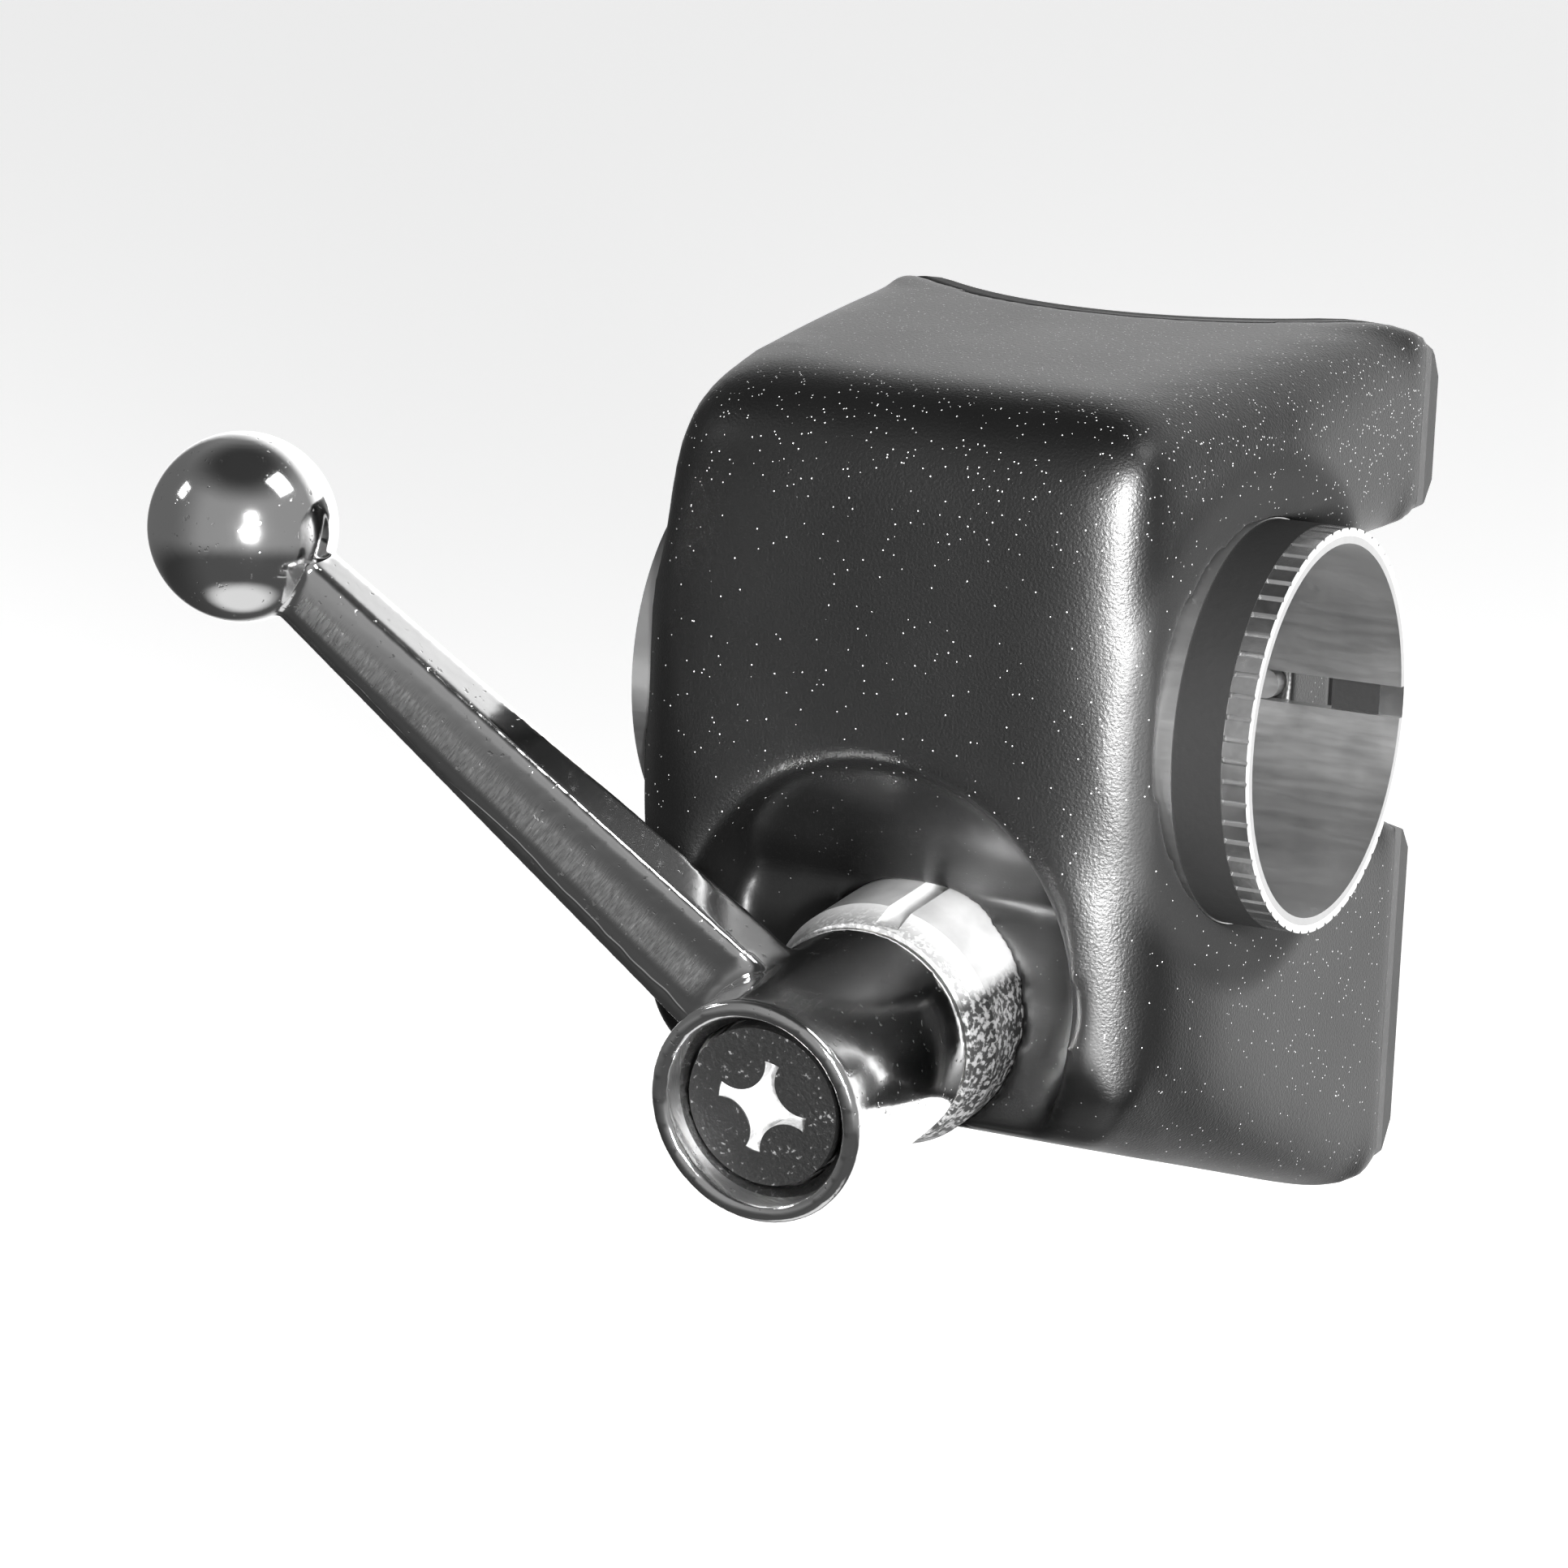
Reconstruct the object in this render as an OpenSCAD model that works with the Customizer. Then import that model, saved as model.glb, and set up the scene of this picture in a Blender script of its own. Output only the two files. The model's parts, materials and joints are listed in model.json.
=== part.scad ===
// Pipe clamp: holds a cross pipe against a round column and locks it with a sprung lever.
// Frame: X along the cross pipe, +Y towards the column, +Z up, origin on the pipe axis.

/* [Pipes] */
// Outside diameter of the cross pipe
pipe_d = 30; // [28:0.5:30]
// Outside diameter of the column
column_d = 60; // [58:1:62]
// Distance from the pipe axis to the column axis
column_y = 49; // [49:0.5:51]

/* [Housing] */
// Width of the housing along the pipe
body_w = 50; // [48:1:54]
// Front face, measured from the pipe axis
body_front = 20; // [19.8:0.1:21]
// Height of the top edge at the front
body_top = 26.2; // [25:0.1:28]
// Depth of the bottom edge at the front
body_bottom = 31.9; // [31:0.1:33]
// Radius of the two upright front edges
upright_r = 9; // [7:0.5:10]
// Radius of the edges along the top and bottom, at the front
rim_r = 9.5; // [8:0.5:10]
// Radius of the big curve under the front
chin_r = 13; // [10:0.5:14]
// Half height of the rear notch in each side wall
notch_h = 11.5; // [9:0.5:13]

/* [Lever] */
// Radius at which the ball sits from the screw axis
lever_reach = 63.6; // [55:0.5:80]
// Direction of the arm above the horizontal, towards the left
lever_angle = 38.5; // [0:0.5:60]
// Diameter of the ball
ball_d = 15.4; // [13:0.1:16]
// Outside diameter of the hub
hub_d = 18.3; // [18:0.1:19]
// Length of the hub
hub_len = 19; // [19:0.1:20]

/* [Screw] */
// Tilt of the screw, its front end pointing down
screw_tilt = 7.1; // [5:0.1:8]
// Distance from the screw axis to the pipe axis
screw_drop = 23.2; // [23:0.1:23.6]
// Diameter of the two cotters
cotter_d = 20.5; // [20:0.1:20.6]
// Thread diameter of the stud
stud_d = 8; // [8:0.1:8.2]
// Number of teeth that lock the lever to the stud
tooth_count = 18; // [12:2:24]

/* [Sleeve] */
// Wall thickness of the sleeve round the pipe
sleeve_t = 1.4; // [1.3:0.1:1.5]
// How far the knurled ring stands out past the housing
sleeve_out = 5.3; // [4:0.1:6]
// Length of the knurled ring
ring_len = 2.1; // [1.5:0.1:3]
// Number of grooves round the knurled ring
knurl_count = 60; // [36:12:96]

/* [Column fixing] */
// Thickness of the rubber pad against the column
pad_t = 1; // [0.8:0.1:1.2]
// Spacing of the fixing screws along the pipe
fix_x = 35; // [34:0.5:36]
// Spacing of the fixing screws up the column
fix_z = 50; // [49:0.5:51]
// Tapping radius of the threaded inserts
fix_r = 2.1; // [2:0.05:2.2]

/* [Hidden] */
$fn = 64;
far = 200;
arc_steps = 7;

pipe_clear = 0.1;
sleeve_in = pipe_d / 2 + pipe_clear;
sleeve_r = sleeve_in + sleeve_t;
column_r = column_d / 2;
body_back = 33;
rim_skew = 8;
top_slope = 4.5;
bottom_slope = 16.7;
front_top_r = 8.5;
rear_r = 8;
mouth_r = sleeve_r + 0.8;
mouth_deep = 1;
slit_w = 2.6;
neck_r = sleeve_in + 0.6;
neck_x = 24;
ring_x1 = body_w / 2 + sleeve_out;
ring_x0 = ring_x1 - ring_len;

// Stations along the screw, outwards from the plane through the pipe axis.
hub_z1 = 41.7;
hub_z0 = hub_z1 - hub_len;
washer_t = 1.2;
slide_t = 0.7;
cotter_gap = 1;
cotter_z1 = hub_z0 - washer_t - slide_t;
cotter_rim = 1.6;
rim_face_r = 9.35;
rim_bevel = 2.6;
washer_r = 8.6;
rear_z0 = -10.6;
bore_end = -11.6;
scoop_floor = 15.1;
scoop_up = 2.4;
scoop_r = 17.6;
scoop_tilt = 13.4;
jacket_r = 18.9;
cotter_r = cotter_d / 2;
bore_r = cotter_r + 0.05;
scallop_r = sleeve_r + 0.3;
stud_r = stud_d / 2;
stud_z0 = -10.4;
stud_z1 = 36.9;
stud_bore_z = 26.6;
screw_r = 2.5;
pin_z = 24.6;
pin_r = 1;
pin_half = 5.6;
spring_well_r = 6.1;
spring_well = 6;
key_w = 2;
key_in = 9.2;
key_out = 11.3;
keyway_angle = 80;

hub_r = hub_d / 2;
cup_r = 7.8;
cup_deep = 2;
well_r = 6.9;
web_z0 = 27.6;
web_z1 = 29;
tooth_z0 = hub_z0;
tooth_lead = 0.3;
tooth_z1 = 26.2;
tooth_root = 6.2;
tooth_tip = 7;
arm_x0 = 2;
arm_w0 = 5.1;
arm_w1 = 2.9;
arm_back0 = 27.4;
arm_front0 = 33.8;
arm_back1 = 31.9;
arm_front1 = 36.3;
ball_z = 34.4;
head_r = 6.5;
head_z0 = 37.7;
head_z1 = 40.1;
star_r = 3.9;
lobe_at = 4.2;
lobe_r = 2.45;
star_deep = 1.6;
star_turn = -14;
seat_t = 0.4;
insert_len = 12;
insert_r = 3.5;
insert_floor = 2;
insert_short = 3;
fix_drop = 2;
sleeve_pin_x = 18;
sleeve_pin_r = 1.25;
sleeve_pin_len = 7;

function unit(v) = v / norm(v);
// Points round one corner q of an outline, between its neighbours p and n.
function round_corner(p, q, n, r) =
    let (u = unit(p - q), w = unit(n - q), half = acos(u * w) / 2,
        mid = q + unit(u + w) * r / sin(half), a = q + u * r / tan(half) - mid,
        b = q + w * r / tan(half) - mid)
    [for (i = [0 : arc_steps]) mid + r * unit(a * (1 - i / arc_steps) + b * i / arc_steps)];
function rounded(pts, radii) =
    [for (i = [0 : len(pts) - 1])
        each round_corner(pts[(i + len(pts) - 1) % len(pts)], pts[i], pts[(i + 1) % len(pts)], radii[i])];

// Turns a shape drawn round +Z, with the pipe above it, onto the tilted screw axis.
module on_screw() rotate([90 + screw_tilt, 0, 0]) translate([0, -screw_drop, 0]) children();
module ring(r_out, r_in, z0, z1) difference() {
    translate([0, 0, z0]) cylinder(r = r_out, h = z1 - z0);
    translate([0, 0, z0 - 1]) cylinder(r = r_in, h = z1 - z0 + 2);
}
module along_pipe(r, len) rotate([0, 90, 0]) cylinder(r = r, h = len, center = true);
module pipe_scallop() translate([0, screw_drop, 0]) rotate([0, 90, 0])
    cylinder(r = scallop_r, h = body_w, center = true);

// The outline seen from the side, drawn as (y, z) and pushed through the width.
module side_outline() {
    rise = (body_back + body_front) * tan(top_slope);
    drop = (body_back + body_front) * tan(bottom_slope);
    rotate([90, 0, 90]) linear_extrude(height = body_w, center = true)
        polygon(rounded([[-body_front, body_top], [-body_front, -body_bottom],
            [body_back, -body_bottom - drop], [body_back, body_top + rise]],
            [front_top_r, chin_r, rear_r, rear_r]));
}
module top_outline() translate([0, 0, -far / 2]) linear_extrude(height = far)
    polygon(concat([[body_w / 2, far / 2], [-body_w / 2, far / 2]],
        rounded([[-body_w / 2, far], [-body_w / 2, -body_front], [body_w / 2, -body_front],
            [body_w / 2, far]], [1, upright_r, upright_r, 1])));
// A slab with one rounded edge that starts at the left front corner and leaves the side
// towards the rear, so that the rounding of the edge runs out.
module rim_slab(z, slope)
    translate([-body_w / 2, upright_r - body_front, z + upright_r * tan(slope)])
        rotate([slope, 0, 0]) rotate([0, 0, rim_skew]) rotate([90, 0, 0])
            translate([0, 0, -far / 2]) linear_extrude(height = far)
                polygon(rounded([[0, 0], [0, -far], [far, -far], [far, 0]], [rim_r, 1, 1, 1]));
module body_block() intersection() {
    side_outline();
    top_outline();
    rim_pair();
    mirror([1, 0, 0]) rim_pair();
}
module rim_pair() intersection() {
    rim_slab(body_top, top_slope);
    mirror([0, 0, 1]) rim_slab(body_bottom, bottom_slope);
}
module column_round(r) translate([0, column_y, -far / 2]) cylinder(r = r, h = far, $fn = 128);
module fix_holes(r, len) for (x = [-1, 1], z = [-1, 1])
    translate([x * fix_x / 2, fix_face() - len, z * fix_z / 2 - fix_drop]) rotate([-90, 0, 0])
        cylinder(r = r, h = len + 20);
function fix_face() = column_y - sqrt(pow(column_r + pad_t, 2) - pow(fix_x / 2 + insert_r, 2));
module rear_notch() rotate([90, 0, 90]) linear_extrude(height = far)
    polygon([[0, notch_h - 1], [25, notch_h + 0.5], [28.5, notch_h + 1.5], [31, notch_h + 2.7],
        [32.6, notch_h + 4.7], [40, notch_h + 6], [40, -notch_h - 6], [32.6, -notch_h - 4.7],
        [31, -notch_h - 2.7], [28.5, -notch_h - 1.5], [25, -notch_h - 0.5], [0, 1 - notch_h]]);

module housing() color([0.09, 0.09, 0.1]) difference() {
    body_block();
    column_round(column_r + pad_t);
    along_pipe(sleeve_r, far);
    for (side = [0, 1]) mirror([side, 0, 0]) {
        translate([body_w / 2 - mouth_deep, 0, 0]) rotate([0, 90, 0])
            cylinder(r1 = sleeve_r, r2 = 2 * mouth_r - sleeve_r, h = 2 * mouth_deep);
        translate([20, 0, 0]) rear_notch();
    }
    on_screw() {
        translate([0, 0, bore_end]) cylinder(r = bore_r, h = 60);
        translate([-key_w / 2, -key_out, -10]) cube([key_w, key_out, 60]);
        difference() {
            translate([0, scoop_up, scoop_floor]) rotate([-scoop_tilt, 0, 0])
                cylinder(r1 = scoop_r - 1, r2 = scoop_r + 3, h = 24);
            translate([0, screw_drop, 0]) rotate([0, 90, 0])
                cylinder(r = jacket_r, h = far, center = true);
        }
    }
    fix_holes(insert_r, insert_len);
    translate([sleeve_pin_x, sleeve_in - 2, 0]) rotate([-90, 0, 0]) cylinder(r = sleeve_pin_r, h = 40);
}
module saddle_pad() color([0.05, 0.05, 0.055]) difference() {
    intersection() {
        body_block();
        difference() {
            column_round(column_r + pad_t);
            column_round(column_r);
        }
    }
    for (side = [0, 1]) mirror([side, 0, 0]) translate([20, 0, 0]) rear_notch();
    fix_holes(insert_r + 0.5, insert_len);
}
module threaded_inserts() color([0.72, 0.58, 0.3])
    for (x = [-1, 1], z = [-1, 1])
        translate([x * fix_x / 2, fix_face() - insert_len, z * fix_z / 2 - fix_drop])
            rotate([-90, 0, 0]) difference() {
                cylinder(r = insert_r, h = insert_len - insert_short);
                translate([0, 0, insert_floor]) cylinder(r = fix_r, h = insert_len);
            }
module pipe_sleeve() color([0.8, 0.8, 0.82]) difference() {
    translate([-body_w / 2 + 0.5, 0, 0]) rotate([0, 90, 0]) union() {
        cylinder(r = sleeve_r, h = neck_x + body_w / 2 - 0.5, $fn = 96);
        cylinder(r = neck_r, h = ring_x1 + body_w / 2 - 0.5, $fn = 96);
    }
    along_pipe(sleeve_in, far);
    translate([-far / 2, 0, -slit_w / 2]) cube([far, far, slit_w]);
}
module dust_collar() color([0.07, 0.07, 0.075]) translate([neck_x, 0, 0]) rotate([0, 90, 0])
    ring(sleeve_r - 0.1, neck_r, 0, ring_x0 - neck_x);
module knurled_ring() color([0.85, 0.85, 0.87]) rotate([0, 90, 0]) difference() {
    ring(sleeve_r - 0.15, neck_r, ring_x0, ring_x1);
    for (i = [0 : knurl_count - 1]) rotate(i * 360 / knurl_count)
        translate([sleeve_r, 0, ring_x0 - 1]) rotate(45) cube([0.55, 0.55, far], center = true);
}
module sleeve_pin() color([0.6, 0.6, 0.62])
    translate([sleeve_pin_x, sleeve_in + 0.3, 0]) rotate([-90, 0, 0])
        cylinder(r = sleeve_pin_r, h = sleeve_pin_len);

module cotter_blank(z0, z1) difference() {
    translate([0, 0, z0]) cylinder(r = cotter_r, h = z1 - z0);
    pipe_scallop();
    translate([-key_w / 2 - 0.05, -far, z0 - 1]) cube([key_w + 0.1, far - key_in + 0.05, z1 - z0 + 2]);
}
// The two washers lie in a counterbore, behind the cotter's bevelled front rim.
module front_cotter() color([0.78, 0.78, 0.8]) on_screw() difference() {
    cotter_blank(cotter_gap, cotter_z1 + cotter_rim);
    difference() {
        translate([0, 0, cotter_z1 + cotter_rim - rim_bevel]) cylinder(r = cotter_r + 1, h = far);
        translate([0, 0, cotter_z1 + cotter_rim - rim_bevel])
            cylinder(r1 = cotter_r, r2 = rim_face_r, h = rim_bevel);
    }
    translate([0, 0, cotter_z1]) cylinder(r = washer_r + 0.35, h = far);
    rotate(keyway_angle) translate([cotter_r - 0.8, -key_w / 2, -1]) cube([5, key_w, far]);
    translate([0, 0, -1]) cylinder(r = stud_r + 0.3, h = far);
    translate([0, 0, -1]) cylinder(r = spring_well_r, h = spring_well + cotter_gap + 1);
}
module rear_cotter() color([0.7, 0.7, 0.72]) on_screw() difference() {
    cotter_blank(rear_z0, -cotter_gap);
    translate([0, 0, rear_z0 - 1]) cylinder(r = stud_r + 0.05, h = far);
    translate([0, 0, -spring_well]) cylinder(r = spring_well_r, h = far);
}
module cotter_key() color([0.55, 0.55, 0.57]) on_screw()
    translate([-key_w / 2, -key_out, -10]) cube([key_w, key_out - key_in, 23]);

// A round wire wound between two heights, with flat closed ends.
module coil_spring(mean_r, wire_r, z0, z1, turns) {
    sides = 8;
    steps = 20;
    count = steps * (turns + 1);
    low = z0 + wire_r;
    high = z1 - wire_r;
    function lift(i) = low + (high - low) * min(1, max(0, (i / steps - 0.5) / turns));
    pts = [for (i = [0 : count], j = [0 : sides - 1])
        let (a = 360 * i / steps, b = 360 * j / sides, r = mean_r + wire_r * cos(b))
        [r * cos(a), r * sin(a), lift(i) + wire_r * sin(b)]];
    walls = [for (i = [0 : count - 1], j = [0 : sides - 1])
        let (k = (j + 1) % sides)
        [i * sides + j, i * sides + k, (i + 1) * sides + k, (i + 1) * sides + j]];
    ends = [[for (j = [sides - 1 : -1 : 0]) j], [for (j = [0 : sides - 1]) count * sides + j]];
    polyhedron(points = pts, faces = concat(walls, ends), convexity = 10);
}
module release_spring() color([0.6, 0.6, 0.64]) on_screw()
    coil_spring(5.3, 0.5, -spring_well, spring_well + cotter_gap, 4.5);

module clamp_stud() color([0.66, 0.66, 0.68]) on_screw() difference() {
    translate([0, 0, stud_z0]) cylinder(r = stud_r, h = stud_z1 - stud_z0);
    translate([0, 0, stud_bore_z]) cylinder(r = screw_r, h = far);
    pin_shape();
}
module pin_shape() translate([0, 0, pin_z]) rotate([0, 90, 0])
    cylinder(r = pin_r, h = 2 * pin_half, center = true);
module stud_pin() color([0.5, 0.5, 0.52]) on_screw() pin_shape();
module slide_washer() color([0.92, 0.9, 0.85]) on_screw()
    ring(washer_r + 0.2, stud_r + 0.1, cotter_z1, cotter_z1 + slide_t);
module thrust_washer() color([0.75, 0.75, 0.78]) on_screw()
    ring(washer_r, stud_r + 0.05, cotter_z1 + slide_t, hub_z0);

// Wedge-shaped teeth standing on a round core, all alike.
module toothed(r_root, r_tip, z0, z1, width) {
    translate([0, 0, z0]) cylinder(r = r_root, h = z1 - z0);
    for (i = [0 : tooth_count - 1]) rotate(i * 360 / tooth_count)
        translate([0, 0, z0]) linear_extrude(height = z1 - z0)
            polygon([[r_root - 0.5, -width / 2], [r_tip, -width / 4], [r_tip, width / 4],
                [r_root - 0.5, width / 2]]);
}
module toothed_insert() color([0.6, 0.6, 0.6]) on_screw() difference() {
    toothed(tooth_root, tooth_tip - 0.1, tooth_z0, tooth_z1, 1.3);
    translate([0, 0, tooth_z0 - 1]) cylinder(r = stud_r + 0.02, h = 20);
    pin_shape();
}

// A straight arm that narrows and thins towards the ball.
module lever_arm() rotate(180 - lever_angle) difference() {
    intersection() {
        linear_extrude(height = far)
            polygon([[arm_x0, -arm_w0], [lever_reach, -arm_w1], [lever_reach, arm_w1], [arm_x0, arm_w0]]);
        rotate([90, 0, 0]) linear_extrude(height = 4 * arm_w0, center = true)
            polygon([[arm_x0, arm_back0], [lever_reach, arm_back1], [lever_reach, arm_front1],
                [arm_x0, arm_front0]]);
    }
    cylinder(r = hub_r - 0.6, h = far);
}
module lever_hub() rotate_extrude($fn = 96) polygon([
    [stud_r + 0.3, web_z0], [tooth_tip + 0.05, web_z0], [tooth_tip + 0.05, hub_z0],
    [hub_r, hub_z0], [hub_r, hub_z1], [cup_r, hub_z1], [well_r, hub_z1 - cup_deep],
    [well_r, web_z1], [stud_r + 0.3, web_z1]]);
module lever() color([0.82, 0.82, 0.84]) on_screw() union() {
    lever_hub();
    lever_teeth();
    lever_arm();
    rotate(180 - lever_angle) translate([lever_reach, 0, ball_z]) rotate([0, 90, 0])
        sphere(d = ball_d, $fn = 64);
}
module lever_teeth() for (i = [0 : tooth_count - 1]) rotate((i + 0.5) * 360 / tooth_count)
    translate([0, 0, tooth_z0 + tooth_lead]) linear_extrude(height = tooth_z1 - tooth_z0 - tooth_lead)
        polygon([[tooth_tip + 0.5, -0.7], [tooth_root + 0.15, -0.25], [tooth_root + 0.15, 0.25],
            [tooth_tip + 0.5, 0.7]]);
module spring_seat() color([0.7, 0.7, 0.72]) on_screw()
    ring(well_r - 0.2, stud_r + 0.5, web_z1, web_z1 + seat_t);
module lever_spring() color([0.6, 0.6, 0.64]) on_screw()
    coil_spring(5.5, 0.4, web_z1 + seat_t, head_z0, 4);
module lock_washer() color([0.55, 0.55, 0.56]) on_screw() ring(4.4, screw_r, stud_z1, head_z0);
// Cross recess whose four arms run in between four round lobes.
module star_recess() intersection() {
    translate([0, 0, head_z1 - star_deep]) cylinder(r = star_r, h = far);
    difference() {
        translate([-star_r, -star_r, head_z1 - star_deep]) cube([2 * star_r, 2 * star_r, far]);
        for (i = [0 : 3]) rotate(45 + 90 * i) translate([lobe_at, 0, 0]) cylinder(r = lobe_r, h = far);
    }
}
module retaining_screw() color([0.13, 0.13, 0.14]) on_screw() difference() {
    union() {
        translate([0, 0, head_z0]) cylinder(r = head_r, h = head_z1 - head_z0);
        translate([0, 0, stud_bore_z + 0.3]) cylinder(r = screw_r, h = head_z0 - stud_bore_z);
    }
    rotate(star_turn) star_recess();
}

housing();
saddle_pad();
threaded_inserts();
pipe_sleeve();
dust_collar();
knurled_ring();
sleeve_pin();
front_cotter();
rear_cotter();
cotter_key();
release_spring();
clamp_stud();
stud_pin();
slide_washer();
thrust_washer();
toothed_insert();
lever();
lever_spring();
spring_seat();
lock_washer();
retaining_screw();
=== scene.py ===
import json
import math

import bmesh
import bpy
from mathutils import Matrix, Vector


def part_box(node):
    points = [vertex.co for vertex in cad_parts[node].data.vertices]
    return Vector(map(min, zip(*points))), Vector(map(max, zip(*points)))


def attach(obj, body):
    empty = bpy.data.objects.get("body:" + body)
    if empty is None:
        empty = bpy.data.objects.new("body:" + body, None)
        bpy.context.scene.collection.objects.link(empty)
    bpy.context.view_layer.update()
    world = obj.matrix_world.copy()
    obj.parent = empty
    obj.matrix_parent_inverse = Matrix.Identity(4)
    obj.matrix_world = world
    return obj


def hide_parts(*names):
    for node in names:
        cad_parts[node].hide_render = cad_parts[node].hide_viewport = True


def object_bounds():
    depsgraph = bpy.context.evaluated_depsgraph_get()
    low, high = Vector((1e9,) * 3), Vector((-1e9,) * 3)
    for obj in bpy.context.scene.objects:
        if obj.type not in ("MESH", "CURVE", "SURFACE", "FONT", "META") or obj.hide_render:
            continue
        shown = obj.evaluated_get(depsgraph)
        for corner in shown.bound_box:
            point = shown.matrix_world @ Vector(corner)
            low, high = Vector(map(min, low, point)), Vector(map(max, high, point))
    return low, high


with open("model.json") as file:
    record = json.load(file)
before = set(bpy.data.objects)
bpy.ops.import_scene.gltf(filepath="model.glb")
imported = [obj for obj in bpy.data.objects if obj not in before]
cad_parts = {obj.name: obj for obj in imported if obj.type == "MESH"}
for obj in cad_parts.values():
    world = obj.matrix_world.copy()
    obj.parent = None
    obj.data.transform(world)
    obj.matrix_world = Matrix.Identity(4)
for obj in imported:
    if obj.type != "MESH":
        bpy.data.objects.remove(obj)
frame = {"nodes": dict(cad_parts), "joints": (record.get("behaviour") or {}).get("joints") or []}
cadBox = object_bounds()
nodes = frame["nodes"]
mm = 0.001
print("clamp: frame loaded with", len(nodes), "nodes")

# The screw's own frame: x to the right, y up, z outwards, starting level with the pipe's axis.
turn = next(joint for joint in frame["joints"] if joint["name"] == "screw_turn")
outward = -Vector(turn["axis"]).normalized()
onAxis = Vector(turn["pos_m"])
screwStart = onAxis - onAxis.dot(outward) * outward
screwAxes = Matrix(((1, 0, 0), outward.cross(Vector((1, 0, 0))), outward)).transposed()
screwPlace = Matrix.Translation(screwStart) @ screwAxes.to_4x4()
armTurn = math.radians(141.5)
armAxes = screwAxes @ Matrix.Rotation(armTurn, 3, "Z")
armPlace = Matrix.Translation(screwStart) @ armAxes.to_4x4()


view = dict(place=(199.2, -412.8, 87.4), heading=27.83, dip=11.9, roll=2.36, lens=129.9)


def cameraAxes():
    heading, dip, roll = (math.radians(view[key]) for key in ("heading", "dip", "roll"))
    forward = Vector((-math.sin(heading) * math.cos(dip), math.cos(heading) * math.cos(dip), -math.sin(dip)))
    level = Vector((math.cos(heading), math.sin(heading), 0))
    upright = level.cross(forward)
    right = math.cos(roll) * level + math.sin(roll) * upright
    up = -math.sin(roll) * level + math.cos(roll) * upright
    return right, up, -forward


def makeCamera():
    data = bpy.data.cameras.new("camera")
    data.lens = view["lens"]
    data.clip_start = 0.01
    camera = bpy.data.objects.new("camera", data)
    bpy.context.scene.collection.objects.link(camera)
    place = Matrix.Translation(Vector(view["place"]) * mm)
    camera.matrix_world = place @ Matrix(cameraAxes()).transposed().to_4x4()
    bpy.context.scene.camera = camera


# Each light is placed by where a mirror ball would show it: right and up of its middle, in its radii.
lamps = [
    dict(name="flash", right=0.07, up=0.08, distance=0.50, size=0.07, power=2.2),
    dict(name="strip", right=0.05, up=-0.08, distance=0.50, size=0.07, power=12.0),
    dict(name="softbox", right=0.36, up=0.46, distance=0.60, size=0.24, power=1.2),
    dict(name="window", right=-0.58, up=0.34, distance=0.80, size=0.15, power=0.35),
]
roomTone = dict(backdrop=1.9, above=0.30, below=0.08, top=0.04, left=0.45, ground=0.7)


def makeLamp(name, right, up, distance, size, power):
    sideways, upright, towards = cameraAxes()
    facing = math.sqrt(1 - right * right - up * up) * towards + right * sideways + up * upright
    direction = 2 * facing.dot(towards) * facing - towards
    data = bpy.data.lights.new(name, "AREA")
    data.size = size
    data.energy = power
    lamp = bpy.data.objects.new(name, data)
    bpy.context.scene.collection.objects.link(lamp)
    lamp.location = direction * distance
    lamp.rotation_euler = direction.to_track_quat("Z", "Y").to_euler()
    lamp.visible_camera = False


class Wire:      # one value in a node tree
    def __init__(self, tree, socket):
        self.tree, self.socket = tree, socket

    def maths(self, operation, other, swapped=False):
        first, second = (other, self) if swapped else (self, other)
        return addNode(self.tree, "ShaderNodeMath", {"operation": operation}, {0: first, 1: second})

    def __add__(self, other): return self.maths("ADD", other)
    def __radd__(self, other): return self.maths("ADD", other, True)
    def __sub__(self, other): return self.maths("SUBTRACT", other)
    def __rsub__(self, other): return self.maths("SUBTRACT", other, True)
    def __mul__(self, other): return self.maths("MULTIPLY", other)
    def __rmul__(self, other): return self.maths("MULTIPLY", other, True)
    def __truediv__(self, other): return self.maths("DIVIDE", other)
    def __gt__(self, other): return self.maths("GREATER_THAN", other)
    def __lt__(self, other): return self.maths("LESS_THAN", other)


def addNode(tree, kind, settings=None, sockets=None, output=0):
    node = tree.nodes.new(kind)
    for key, value in (settings or {}).items():
        setattr(node, key, value)
    for key, value in (sockets or {}).items():
        if isinstance(value, Wire):
            tree.links.new(value.socket, node.inputs[key])
        else:
            node.inputs[key].default_value = value
    return Wire(tree, node.outputs[output])


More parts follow.
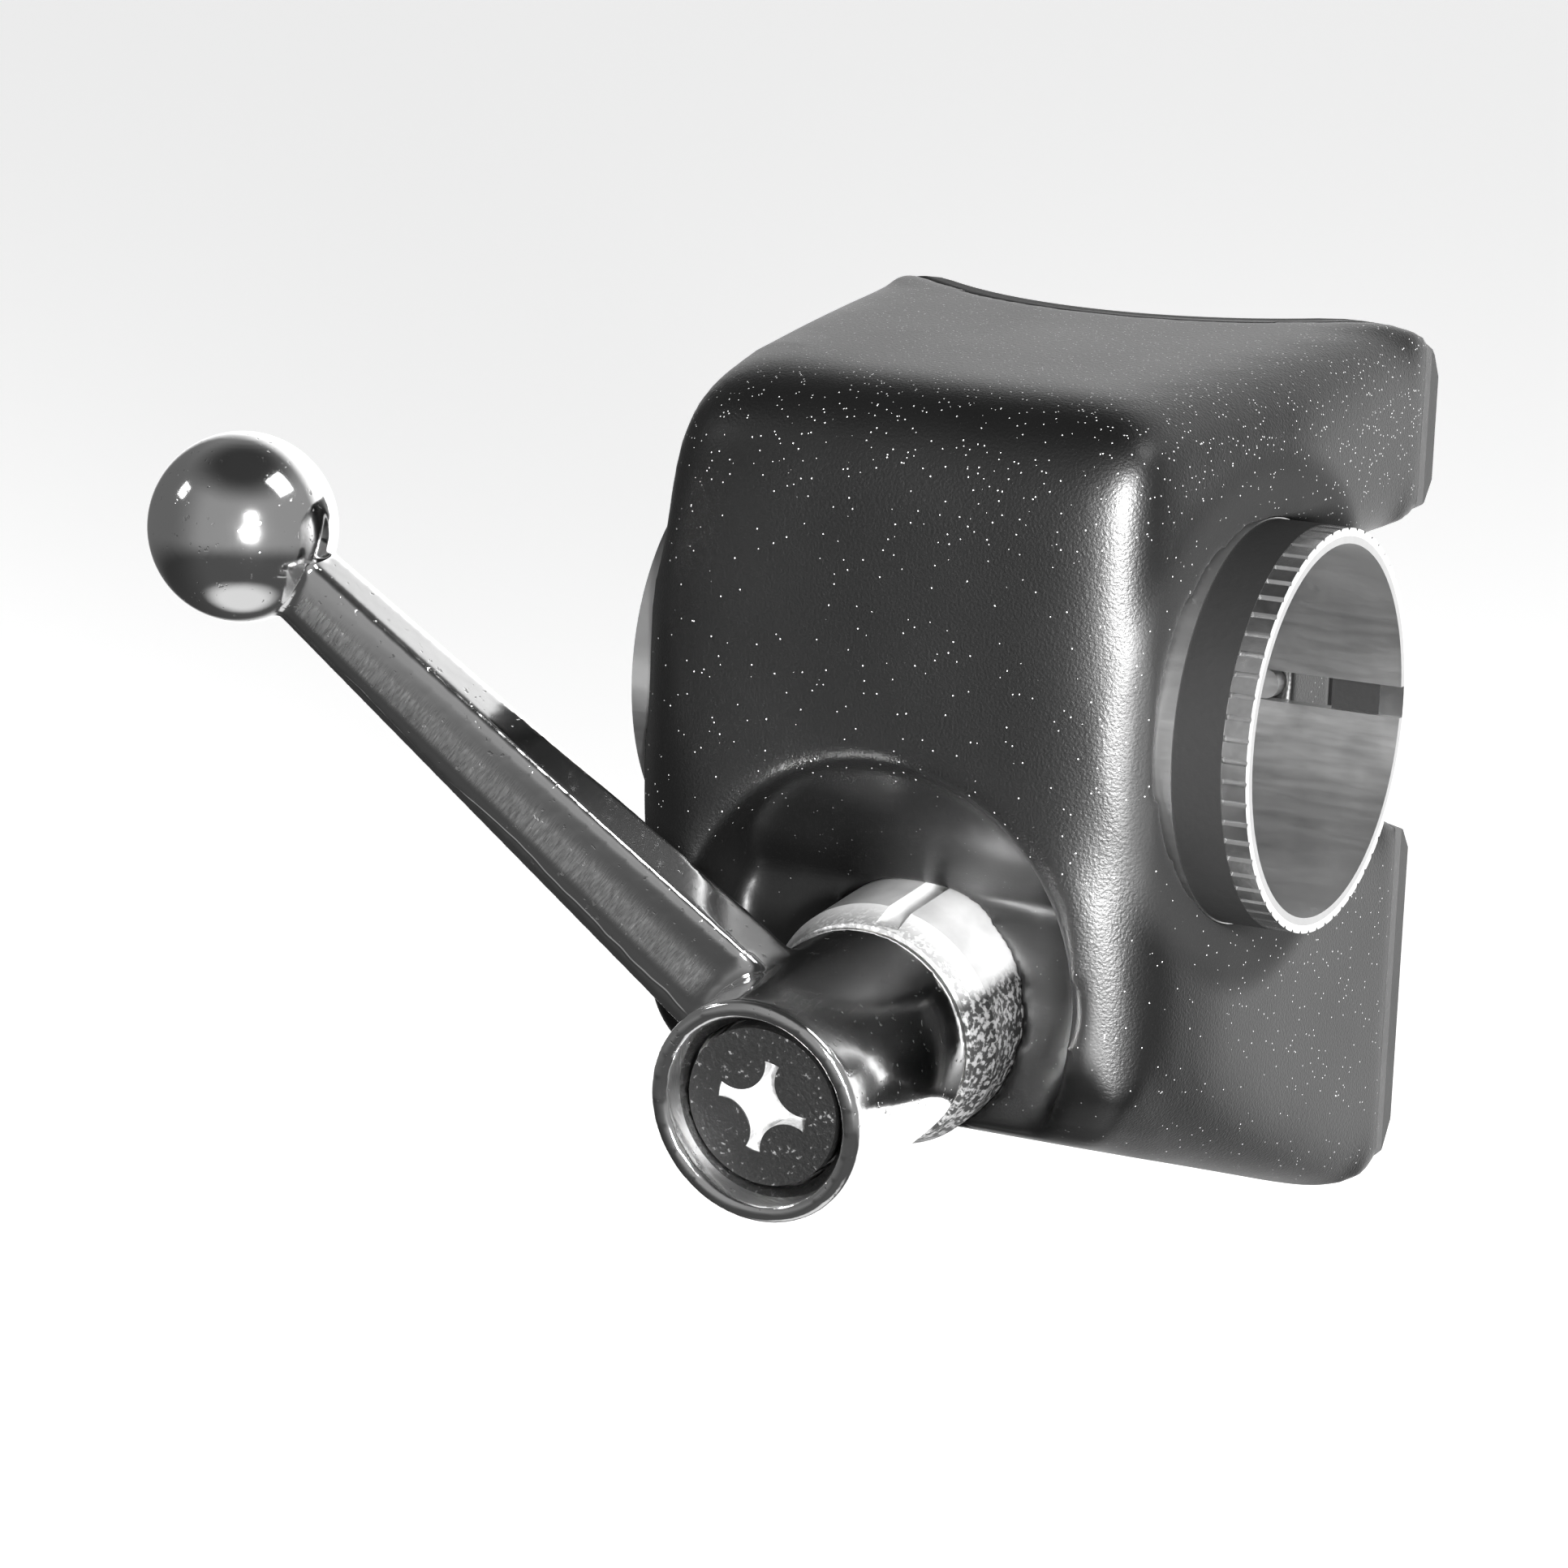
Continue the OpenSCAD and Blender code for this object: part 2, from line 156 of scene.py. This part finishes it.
class Finish:
    def __init__(self, name):
        self.material = bpy.data.materials.new(name)
        self.material.use_nodes = True
        self.tree = self.material.node_tree
        self.shader = self.tree.nodes["Principled BSDF"]
        self.place = self.node("ShaderNodeTexCoord", output="Object")

    def node(self, kind, settings=None, sockets=None, output=0):
        return addNode(self.tree, kind, settings, sockets, output)

    def noise(self, scale, detail=3, where=None, roughness=0.55):
        sockets = {"Vector": where or self.place, "Scale": scale, "Detail": detail, "Roughness": roughness}
        return self.node("ShaderNodeTexNoise", None, sockets)

    def cells(self, scale, output="Distance"):
        return self.node("ShaderNodeTexVoronoi", None, {"Vector": self.place, "Scale": scale}, output)

    def local(self, place):      # object coordinates seen from a place on the part
        sockets = {"Vector": self.place, "Location": place.to_translation(), "Rotation": place.to_euler()}
        return self.node("ShaderNodeMapping", {"vector_type": "TEXTURE"}, sockets)

    def axis(self, vector, letter):
        return self.node("ShaderNodeSeparateXYZ", None, {0: vector}, letter)

    def step(self, value, low, high, out0=0.0, out1=1.0):
        sockets = {"Value": value, "From Min": low, "From Max": high, "To Min": out0, "To Max": out1}
        return self.node("ShaderNodeMapRange", {"interpolation_type": "SMOOTHSTEP"}, sockets)

    def mix(self, share, first, second):
        grey = [(tone, tone, tone, 1) if isinstance(tone, float) else tone for tone in (first, second)]
        sockets = {0: share, 6: grey[0], 7: grey[1]}
        return self.node("ShaderNodeMix", {"data_type": "RGBA"}, sockets, 2)

    def bump(self, height, distance, strength=1.0):
        sockets = {"Height": height, "Distance": distance, "Strength": strength}
        return self.node("ShaderNodeBump", None, sockets)

    def done(self, **sockets):
        for key, value in sockets.items():
            socket = self.shader.inputs[key.replace("_", " ")]
            if isinstance(value, Wire):
                self.tree.links.new(value.socket, socket)
            else:
                socket.default_value = value
        return self.material


def makeWorld():
    world = bpy.data.worlds.new("studio")
    world.use_nodes = True
    bpy.context.scene.world = world
    tree = world.node_tree
    tree.nodes.clear()
    look = addNode(tree, "ShaderNodeTexCoord", output="Generated")

    def ramp(letter, low, high, out0=0.0, out1=1.0):
        part = addNode(tree, "ShaderNodeSeparateXYZ", None, {0: look}, letter)
        sockets = {"Value": part, "From Min": low, "From Max": high, "To Min": out0, "To Max": out1}
        return addNode(tree, "ShaderNodeMapRange", {"interpolation_type": "SMOOTHSTEP"}, sockets)

    tone = roomTone
    front = ramp("Z", -0.52, -0.18, tone["below"], tone["above"])
    front = front + ramp("Z", 0.55, 0.95, 0.0, tone["top"] - tone["above"])
    front = front + ramp("Z", -0.97, -0.85, tone["ground"], 0.0)
    front = front * ramp("X", -0.9, -0.2, tone["left"], 1.0)
    back = ramp("Y", 0.60, 0.92)
    glow = front * (1 - back) + back * tone["backdrop"]
    seen = addNode(tree, "ShaderNodeLightPath", output="Is Camera Ray")
    sockets = {"Color": (1, 1, 1, 1), "Strength": glow * (1 - seen) + seen}
    output = tree.nodes.new("ShaderNodeOutputWorld")
    tree.links.new(addNode(tree, "ShaderNodeBackground", None, sockets).socket, output.inputs["Surface"])


def makeFloor():
    bm = bmesh.new()
    bmesh.ops.create_grid(bm, x_segments=1, y_segments=1, size=3.0)
    floor = asObject(bm, "floor")
    for vertex in floor.data.vertices:
        vertex.co.z = cadBox[0][2] - 0.06
    paper = Finish("floor_paper")
    spread = paper.node("ShaderNodeVectorMath", {"operation": "LENGTH"}, {0: paper.place}, "Value")
    tone = paper.mix(paper.step(spread, 0.1, 1.2), 0.82, 0.90)
    floor.data.materials.append(paper.done(Base_Color=tone, Roughness=0.9, Emission_Color=(1, 1, 1, 1),
                                           Emission_Strength=0.55))
    floor.visible_glossy = False


def asObject(bm, name):
    mesh = bpy.data.meshes.new(name)
    bm.to_mesh(mesh)
    bm.free()
    piece = bpy.data.objects.new(name, mesh)
    bpy.context.scene.collection.objects.link(piece)
    return piece


# Turns an outline of (radius, height) in millimetres round +Z.
def spun(bm, profile, steps=128):
    corners = [bm.verts.new((radius * mm, 0, height * mm)) for radius, height in profile]
    sides = [bm.edges.new(pair) for pair in zip(corners, corners[1:] + corners[:1])]
    bmesh.ops.spin(bm, geom=corners + sides, cent=(0, 0, 0), axis=(0, 0, 1), angle=math.tau, steps=steps,
                   use_merge=True)


# A box between two rectangles, each (u, low v, high v, low w, high w) in millimetres.
def tapered(bm, start, end):
    block = bmesh.ops.create_cube(bm, size=1)["verts"]
    for corner in block:
        u, lowV, highV, lowW, highW = end if corner.co.x > 0 else start
        corner.co = Vector((u, highV if corner.co.y > 0 else lowV, highW if corner.co.z > 0 else lowW)) * mm
    return block


# The union of a piece's shells as one even skin.
def remeshed(piece, voxel):
    skin = piece.modifiers.new("skin", "REMESH")
    skin.mode = "VOXEL"
    skin.voxel_size = voxel * mm
    skin.use_smooth_shade = True
    graph = bpy.context.evaluated_depsgraph_get()
    mesh = bpy.data.meshes.new_from_object(piece.evaluated_get(graph))
    piece.modifiers.clear()
    piece.data = mesh
    bm = bmesh.new()
    bm.from_mesh(mesh)
    return bm


def soften(bm, rounds, wanted=None):
    chosen = [corner for corner in bm.verts if wanted is None or wanted(corner.co)]
    for step in range(rounds):
        bmesh.ops.smooth_vert(bm, verts=chosen, factor=0.5, use_axis_x=True, use_axis_y=True,
                              use_axis_z=True)


def settle(bm, piece):
    for face in bm.faces:
        face.smooth = True
    bm.to_mesh(piece.data)
    bm.free()
    piece.data.update()
    print("clamp:", piece.name, len(piece.data.polygons), "faces")


def merged(node):
    bm = bmesh.new()
    bm.from_mesh(nodes[node].data)
    bmesh.ops.remove_doubles(bm, verts=bm.verts, dist=0.002 * mm)
    return bm


casting = dict(voxel=0.535, fine=2, medium=10, broad=86, cornerReaches=range(17, 7, -1), cornerRounds=22,
               boreReach=10.9, boreRoom=0.5, boreDeep=-1.5, boreFloor=-11.0)


def openBore(bm, inverse):      # clears the rear cotter where the casting's skin is rounded off
    wallFrom = 9.0
    for corner in bm.verts:
        local = inverse @ corner.co / mm
        radius = math.hypot(local.x, local.y)
        if local.z < casting["boreDeep"] and radius < casting["boreReach"]:
            share = min(1.0, local.z / casting["boreDeep"] - 1.0) * casting["boreRoom"]
            outwards = share / radius if radius > wallFrom else 0.0
            inwards = share if local.z < casting["boreFloor"] else 0.0
            moved = Vector((local.x * (1 + outwards), local.y * (1 + outwards), local.z - inwards))
            corner.co = screwPlace @ (moved * mm)


def makeHousing():
    bm = merged("housing")
    piece = asObject(bm, "housing_casting")
    bm = remeshed(piece, casting["voxel"])
    lowX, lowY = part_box("housing")[0][:2]
    inverse = screwPlace.inverted()

    def nearFeature(co, screwReach, mouthReach, saddleReach):
        local = inverse @ co
        mouth = math.hypot(co.y, co.z) < mouthReach * mm
        saddle = co.y > saddleY(co.x) - saddleReach * mm
        return math.hypot(local.x, local.y) < screwReach * mm or mouth or saddle

    def saddleY(x):
        columnAt, saddleRadius = 49, 31
        return (columnAt - math.sqrt(max(saddleRadius ** 2 - (x / mm) ** 2, 0))) * mm

    soften(bm, casting["broad"], lambda co: not nearFeature(co, 23, 19.5, 3.0))
    soften(bm, casting["medium"], lambda co: not nearFeature(co, 14, 18.3, 1.2))
    soften(bm, casting["fine"])
    for corner in (Vector((lowX, lowY, 25 * mm)), Vector((lowX, lowY, -30 * mm))):
        for reach in casting["cornerReaches"]:
            soften(bm, casting["cornerRounds"], lambda co: (co - corner).length < reach * mm)
    openBore(bm, inverse)
    settle(bm, piece)
    piece.data.materials.append(powderCoat())
    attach(piece, "block")
    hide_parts("housing")


lever = dict(voxel=0.245, crown=0.5, hub=9.15, rim=41.7, base=22.7, cup=7.85, well=6.9, webLow=27.6,
             webHigh=29.0, bore=4.3, toothTip=7.05, ball=7.7, reach=63.6, ballHeight=34.4)


def crownArm(bm):      # the arm's front face stands up a little along its middle
    front = [face for face in bm.faces if face.normal.z > 0.9 and face.calc_center_median().x > 20 * mm]
    ends = {edge for face in front for edge in face.edges
            if abs(edge.verts[0].co.x - edge.verts[1].co.x) < mm}
    bmesh.ops.subdivide_edges(bm, edges=list(ends), cuts=11, use_grid_fill=True)
    for corner in {corner for face in bm.faces for corner in face.verts if 8.5 * mm < corner.co.x}:
        half = (5.2 - 0.0357 * corner.co.x / mm) * mm
        top = (33.7 + 0.0406 * corner.co.x / mm) * mm
        if corner.co.x > 7.9 * mm and abs(corner.co.z - top) < 0.05 * mm:
            corner.co.z += lever["crown"] * mm * (1 - (corner.co.y / half) ** 2)


def makeLever():
    size = lever
    bm = bmesh.new()
    rim, base, hub = size["rim"], size["base"], size["hub"]
    spun(bm, [(hub - 0.35, base), (hub, base + 0.35), (hub, rim - 0.3), (hub - 0.3, rim),
              (size["cup"] + 0.1, rim), (size["cup"], rim - 0.1), (size["well"] + 0.1, rim - 2.0),
              (size["well"], rim - 2.2), (size["well"], size["webHigh"]), (size["bore"], size["webHigh"]),
              (size["bore"], size["webLow"]), (size["toothTip"], size["webLow"]), (size["toothTip"], base)])
    for tooth in range(18):
        wedge = tapered(bm, (6.35, -0.25, 0.25, 23.0, 26.2), (7.5, -0.7, 0.7, 23.0, 26.2))
        bmesh.ops.rotate(bm, verts=wedge, cent=(0, 0, 0),
                         matrix=Matrix.Rotation(math.radians(20 * tooth + 10) - armTurn, 3, "Z"))
    arm = tapered(bm, (8.0, -4.89, 4.89, 27.84, 34.04), (61.0, -2.99, 2.99, 31.7, 36.2))
    edges = {edge for corner in arm for edge in corner.link_edges}
    along = [edge for edge in edges if abs(edge.verts[0].co.x - edge.verts[1].co.x) > 20 * mm]
    widths = {(True, True): 1.3, (False, True): 0.5, (True, False): 1.2, (False, False): 1.2}
    for edge in along:
        middle = (edge.verts[0].co + edge.verts[1].co) / 2
        width = widths[(middle.y > 0, middle.z > 32.5 * mm)]
        bmesh.ops.bevel(bm, geom=[edge], offset=width * mm, affect="EDGES", segments=2, profile=0.5,
                        material=-1)
    crownArm(bm)
    ball = bmesh.ops.create_uvsphere(bm, u_segments=96, v_segments=48, radius=size["ball"] * mm)["verts"]
    bmesh.ops.translate(bm, verts=ball, vec=Vector((size["reach"], 0, size["ballHeight"])) * mm)
    bmesh.ops.recalc_face_normals(bm, faces=bm.faces)
    bm.transform(armPlace)
    piece = asObject(bm, "lever_casting")
    bm = remeshed(piece, size["voxel"])
    inverse = armPlace.inverted()

    def fillet(co):
        local = inverse @ co / mm
        return 8.4 < math.hypot(local.x, local.y) < 11.0 and local.x > 6 and 26 < local.z < 37

    soften(bm, 2)
    soften(bm, 20, fillet)
    settle(bm, piece)
    piece.data.materials.append(chrome())
    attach(piece, "lever")
    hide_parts("lever")


def powderCoat():
    finish = Finish("powder_coat")
    spot = finish.local(screwPlace)
    across = finish.node("ShaderNodeVectorMath", {"operation": "MULTIPLY"}, {0: spot, 1: (1, 1, 0)})
    radius = finish.node("ShaderNodeVectorMath", {"operation": "LENGTH"}, {0: across}, "Value")
    depth = finish.axis(finish.place, "Y")
    scoop = finish.step(depth, -0.0197, -0.0192) * finish.step(radius, 0.0195, 0.0215, 1.0, 0.0)
    grain = finish.noise(4200, 2)
    patches = finish.noise(70, 2)
    # Bright flecks painted into the colour: partly the coat's own sparkle, partly painted glints, made
    # denser towards the top where the highlight falls.
    fleckTone = finish.axis(finish.cells(5200, "Color"), "X")
    paintedGlintTop = finish.step(finish.axis(finish.place, "Z"), 0.012, 0.026)
    flecksAndPaintedGlints = (fleckTone > 0.986 - paintedGlintTop * 0.05) * (finish.cells(5200) < 0.32) * (1 - scoop * 0.85)
    base = finish.mix(patches, 0.0006, 0.0014)
    colour = finish.mix(flecksAndPaintedGlints, base, 0.35)
    pipeWay = finish.node("ShaderNodeVectorMath", {"operation": "MULTIPLY"}, {0: finish.place, 1: (0, 1, 1)})
    mouth = finish.node("ShaderNodeVectorMath", {"operation": "LENGTH"}, {0: pipeWay}, "Value")
    sides = finish.step(finish.node("ShaderNodeMath", {"operation": "ABSOLUTE"},
                                    {0: finish.axis(finish.place, "X")}), 0.0200, 0.0240)
    shaded = finish.step(mouth, 0.0185, 0.0230, 1.0, 0.0) * sides
    rough = 0.35 + patches * 0.07 + grain * 0.06 - scoop * 0.04 + shaded * 0.5
    height = grain * (1 - scoop * 0.85)
    return finish.done(Base_Color=colour, Roughness=rough, Specular_IOR_Level=0.5,
                       Normal=finish.bump(height, 0.00008, 0.5))


def chrome():
    finish = Finish("lever_chrome")
    arm = finish.local(armPlace)
    along, sideways, outwards = (finish.axis(arm, letter) for letter in "XYZ")
    onArm = finish.step(along, 0.0098, 0.0112) * finish.step(along, 0.0560, 0.0550, 0.0, 1.0)
    share = sideways / (0.0052 - along * 0.0357)       # -1 to 1 across the tapering arm
    scratchSpots = finish.node("ShaderNodeVectorMath", {"operation": "MULTIPLY"},
                               {0: arm, 1: (9000, 900, 900)})
    scratches = finish.noise(1, 3, scratchSpots)
    band = finish.step(share, -0.55, -0.15) * finish.step(share, 0.20, 0.45, 1.0, 0.0) * onArm
    waves = finish.noise(140, 2) - 0.5
    seamWay = share - 0.62 + waves * 0.35
    seam = (1 - finish.step(finish.node("ShaderNodeMath", {"operation": "ABSOLUTE"}, {0: seamWay}),
                            0.0, 0.035)) * onArm
    ripple = finish.noise(330, 2)
    pits = finish.step(finish.noise(1500, 2), 0.66, 0.74)
    height = ripple * 0.35 + scratches * band * 1.2 + seam * 0.8 - pits * 0.35
    rough = 0.06 + ripple * 0.06 + band * (scratches * 0.25 + 0.08) + pits * 0.15
    tone = finish.mix(pits * 0.6 + band * (1 - scratches) * 0.6, 0.88, 0.40)
    return finish.done(Base_Color=tone, Roughness=rough, Metallic=1.0,
                       Normal=finish.bump(height, 0.00006, 0.6))


def plated(name, tone, rough, streaks=(1, 1, 1), place=None):
    finish = Finish(name)
    spot = finish.local(place or Matrix.Identity(4))
    stretched = finish.node("ShaderNodeVectorMath", {"operation": "MULTIPLY"}, {0: spot, 1: streaks})
    marks = finish.noise(1400, 3, stretched)
    clouds = finish.noise(220, 3)
    colour = finish.mix(clouds, tone * 0.75, tone)
    return finish.done(Base_Color=colour, Roughness=rough + marks * 0.12 + clouds * 0.08, Metallic=1.0,
                       Normal=finish.bump(marks + clouds * 0.3, 0.00003, 0.5))


def zincCotter():
    finish = Finish("zinc_cotter")
    spot = finish.local(screwPlace)
    face = finish.step(finish.axis(spot, "Z"), 0.0196, 0.0224)
    streaks = finish.node("ShaderNodeVectorMath", {"operation": "MULTIPLY"}, {0: spot, 1: (1, 1, 0.3)})
    marks = finish.noise(1300, 3, streaks)
    clouds = finish.noise(260, 3)
    specks = finish.step(finish.noise(2000, 2), 0.45, 0.62)
    # Painted shade: the cotter's skin is painted dark below a slanted line through its axis (the lower right
    # side) and bright above it (the lit upper left side).
    lit = finish.step(finish.axis(spot, "Y") - finish.axis(spot, "X") * 0.5, -0.001, 0.001)
    skin = finish.mix(clouds, 0.60, 0.95)
    skin = finish.mix(lit, finish.mix(specks, 0.02, 0.22), skin)
    colour = finish.mix(face * 0.6, skin, finish.mix(specks, 0.06, 0.40))
    return finish.done(Base_Color=colour, Roughness=0.30 + marks * 0.14 + face * 0.1, Metallic=0.7,
                       Normal=finish.bump(marks + specks * face, 0.00005, 0.5))


def screwHead():
    finish = Finish("black_oxide")
    spot = finish.local(screwPlace)
    height = finish.axis(spot, "Z")
    recess = finish.step(height, 0.03985, 0.04000, 1.0, 0.0) * finish.step(height, 0.0380, 0.0382)
    across = finish.node("ShaderNodeVectorMath", {"operation": "MULTIPLY"}, {0: spot, 1: (1, 1, 0)})
    radius = finish.node("ShaderNodeVectorMath", {"operation": "LENGTH"}, {0: across}, "Value")
    recess = recess * finish.step(radius, 0.0043, 0.0045, 1.0, 0.0)
    crust = finish.noise(2400, 3)
    glints = finish.step(crust, 0.62, 0.74)
    colour = finish.mix(recess, finish.mix(glints, 0.008, 0.12), finish.mix(crust, 0.25, 0.85))
    rough = 0.45 - recess * 0.08 + crust * 0.1
    return finish.done(Base_Color=colour, Roughness=rough, Metallic=recess * 0.2 + 0.5,
                       Normal=finish.bump(crust * (1 - recess * 0.8), 0.00015, 0.8))


def dull(name, tone, rough, scale, depth, tint=(1, 1, 1), gloss=0.5):
    finish = Finish(name)
    grain = finish.noise(scale, 3)
    clouds = finish.noise(scale / 12, 2)
    low = tuple(tone * 0.7 * part for part in tint) + (1,)
    high = tuple(tone * part for part in tint) + (1,)
    return finish.done(Base_Color=finish.mix(clouds, low, high), Roughness=rough + grain * 0.1,
                       Specular_IOR_Level=gloss, Normal=finish.bump(grain, depth, 0.5))


def tinted(name, low, high, rough):
    finish = Finish(name)
    clouds = finish.noise(400, 3)
    marks = finish.noise(2500, 2)
    return finish.done(Base_Color=finish.mix(clouds, low, high), Roughness=rough + marks * 0.15,
                       Metallic=1.0, Normal=finish.bump(marks, 0.00002, 0.5))


def dressFrame():
    steel = plated("plated_steel", 0.80, 0.25, (1, 1, 0.3), screwPlace)
    ring = plated("ring_steel", 0.80, 0.14)
    machined = plated("machined_steel", 0.55, 0.25, (0.15, 1, 1), screwPlace)
    spring = plated("spring_steel", 0.50, 0.22)
    brass = tinted("brass_insert", (0.55, 0.40, 0.16, 1), (0.75, 0.58, 0.28, 1), 0.2)
    black = dull("black_nylon", 0.008, 0.6, 1800, 0.00006, gloss=0.2)
    white = dull("white_nylon", 0.85, 0.4, 1500, 0.00003, (1, 0.98, 0.93))
    rubber = dull("pad_rubber", 0.03, 0.7, 1200, 0.0001)
    dress = {"saddle_pad": rubber, "threaded_inserts": brass, "pipe_sleeve": machined, "dust_collar": black,
             "knurled_ring": ring, "sleeve_pin": machined, "front_cotter": zincCotter(),
             "rear_cotter": steel, "cotter_key": machined, "release_spring": spring,
             "clamp_stud": machined, "stud_pin": machined,
             "slide_washer": white, "thrust_washer": steel, "toothed_insert": machined,
             "lever_spring": spring, "spring_seat": steel, "lock_washer": spring,
             "retaining_screw": screwHead()}
    for name, material in dress.items():
        for slot in nodes[name].material_slots:
            slot.material = material


makeCamera()
for lamp in lamps:
    makeLamp(**lamp)
makeWorld()
makeFloor()
print("clamp: studio ready")
makeHousing()
makeLever()
dressFrame()
print("clamp: finishes ready")
bpy.context.scene.view_settings.view_transform = "Standard"
